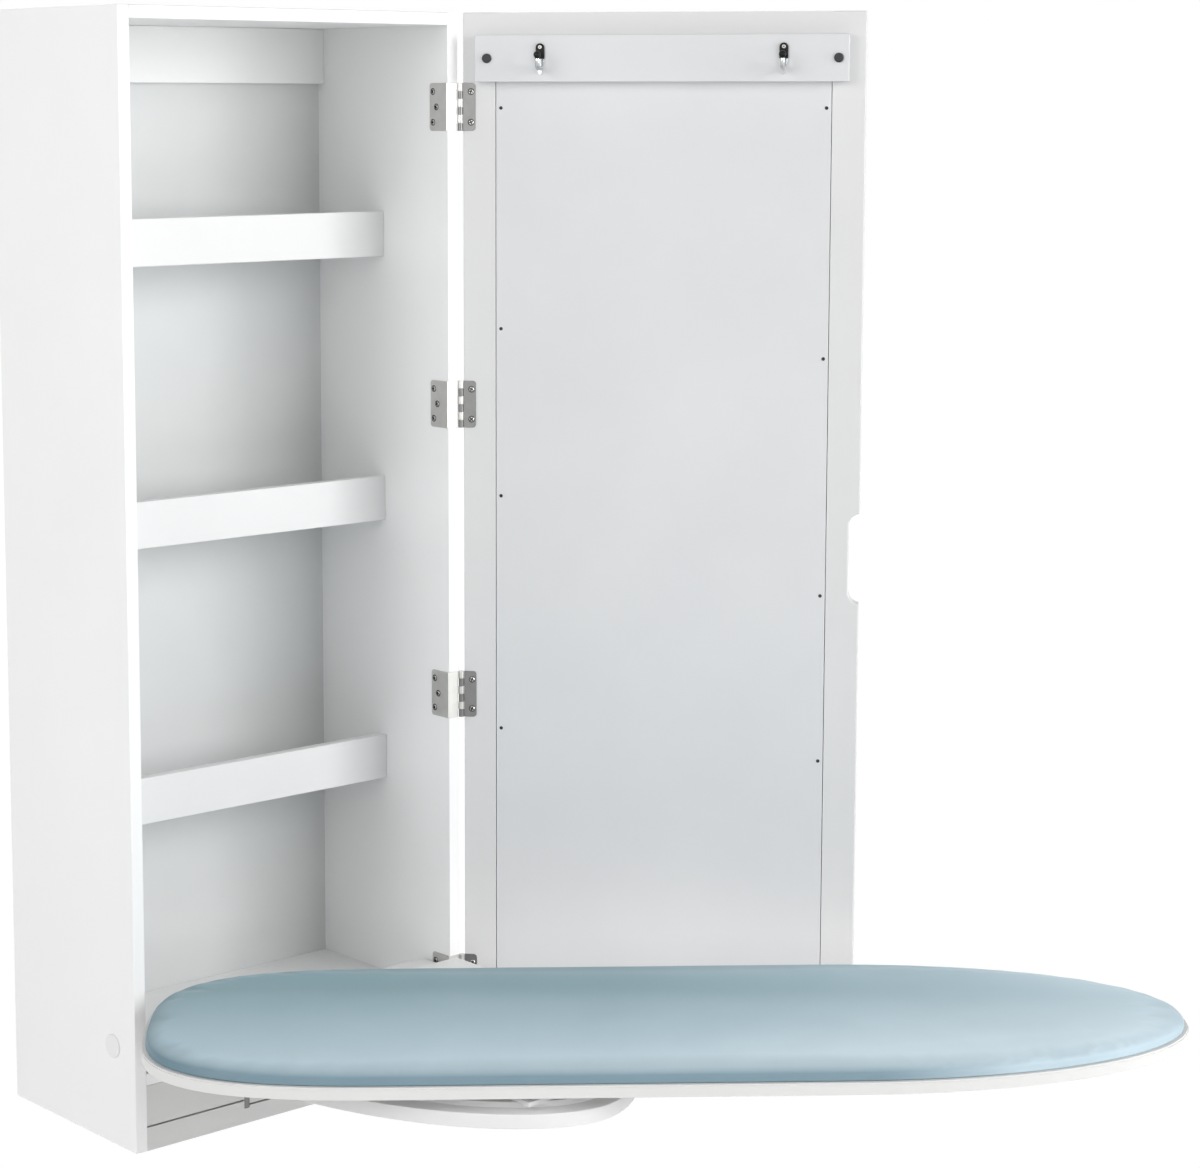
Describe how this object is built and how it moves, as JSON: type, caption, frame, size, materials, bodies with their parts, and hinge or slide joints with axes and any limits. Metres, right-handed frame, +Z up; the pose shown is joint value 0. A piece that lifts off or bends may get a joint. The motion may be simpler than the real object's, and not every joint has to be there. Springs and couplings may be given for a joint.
{
  "type": "mirrored ironing board cabinet",
  "caption": "Wall-hung white cabinet with a mirrored door and shelf bays, holding a padded ironing board that swivels on a fold-down leaf",
  "frame": {"origin": "middle of the two hanger holes, on the wall plane", "axes": "+Z up, +Y into the wall, +X to the right seen from the front; the leaf points to -Y"},
  "size_m": [0.747, 0.8496, 0.99],
  "materials": {
    "white_lacquer": "smooth white lacquer on fibreboard",
    "back_board": "matt off-white laminate",
    "plastic_cap": "moulded white",
    "nickel_steel": "satin nickel plate",
    "chrome_hook": "polished",
    "black_rubber": "matt",
    "mirror_glass": "silvered glass",
    "board_cover": "pale blue-grey tight cotton over foam"
  },
  "bodies": {
    "cabinet": {"left_side": "white_lacquer", "right_side": "white_lacquer", "top_panel": "white_lacquer", "floor_panel": "white_lacquer", "base_rail": "white_lacquer", "apron": "white_lacquer", "deck": "white_lacquer", "back_panel": "back_board", "hanging_rail": "white_lacquer", "shelf_1": "white_lacquer", "shelf_2": "white_lacquer", "shelf_3": "white_lacquer", "shelf_bar_1": "white_lacquer", "shelf_bar_2": "white_lacquer", "shelf_bar_3": "white_lacquer", "catch_left": "nickel_steel", "catch_right": "nickel_steel", "axle_left": "nickel_steel", "axle_right": "nickel_steel", "axle_cap_left": "plastic_cap", "axle_cap_right": "plastic_cap", "frame_leaf_1": "nickel_steel", "frame_leaf_2": "nickel_steel", "frame_leaf_3": "nickel_steel", "frame_leaf_4": "nickel_steel", "hinge_pin_1": "nickel_steel", "hinge_pin_2": "nickel_steel", "hinge_pin_3": "nickel_steel", "hinge_pin_4": "nickel_steel", "frame_hinge_screws": "nickel_steel"},
    "door": {"hinge_stile": "white_lacquer", "pull_stile": "white_lacquer", "door_rail_top": "white_lacquer", "door_rail_foot": "white_lacquer", "door_backing": "back_board", "mirror_pane": "mirror_glass", "backing_screws": "black_rubber", "hook_rail": "white_lacquer", "bumper_left": "black_rubber", "bumper_right": "black_rubber", "hook_left": "chrome_hook", "hook_right": "chrome_hook", "door_hinge_screws": "nickel_steel", "door_leaf_1": "nickel_steel", "door_leaf_2": "nickel_steel", "door_leaf_3": "nickel_steel", "door_leaf_4": "nickel_steel"},
    "leaf": {"support_leaf": "white_lacquer", "hinge_block_left": "white_lacquer", "hinge_block_right": "white_lacquer", "leaf_spacer": "white_lacquer", "bearing_lower": "nickel_steel", "race_lower": "nickel_steel", "bearing_balls": "chrome_hook", "swivel_bolt": "nickel_steel"},
    "board": {"bearing_upper": "nickel_steel", "race_upper": "nickel_steel", "board_panel": "white_lacquer", "board_pad": "board_cover"}
  },
  "joints": [
    {"name": "door_hinge", "type": "hinge", "parent": "cabinet", "child": "door", "pos_m": [0.1856, -0.199, -0.458], "axis": [0, 0, 1], "range_deg": [-5, 50]},
    {"name": "frame_fold", "type": "hinge", "parent": "cabinet", "child": "leaf", "pos_m": [0, -0.1645, -0.8637], "axis": [-1, 0, 0], "range_deg": [0, 8]},
    {"name": "board_swivel", "type": "hinge", "parent": "leaf", "child": "board", "pos_m": [0, -0.4355, -0.855], "axis": [0, 0, 1], "range_deg": [-100, 0]}
  ]
}
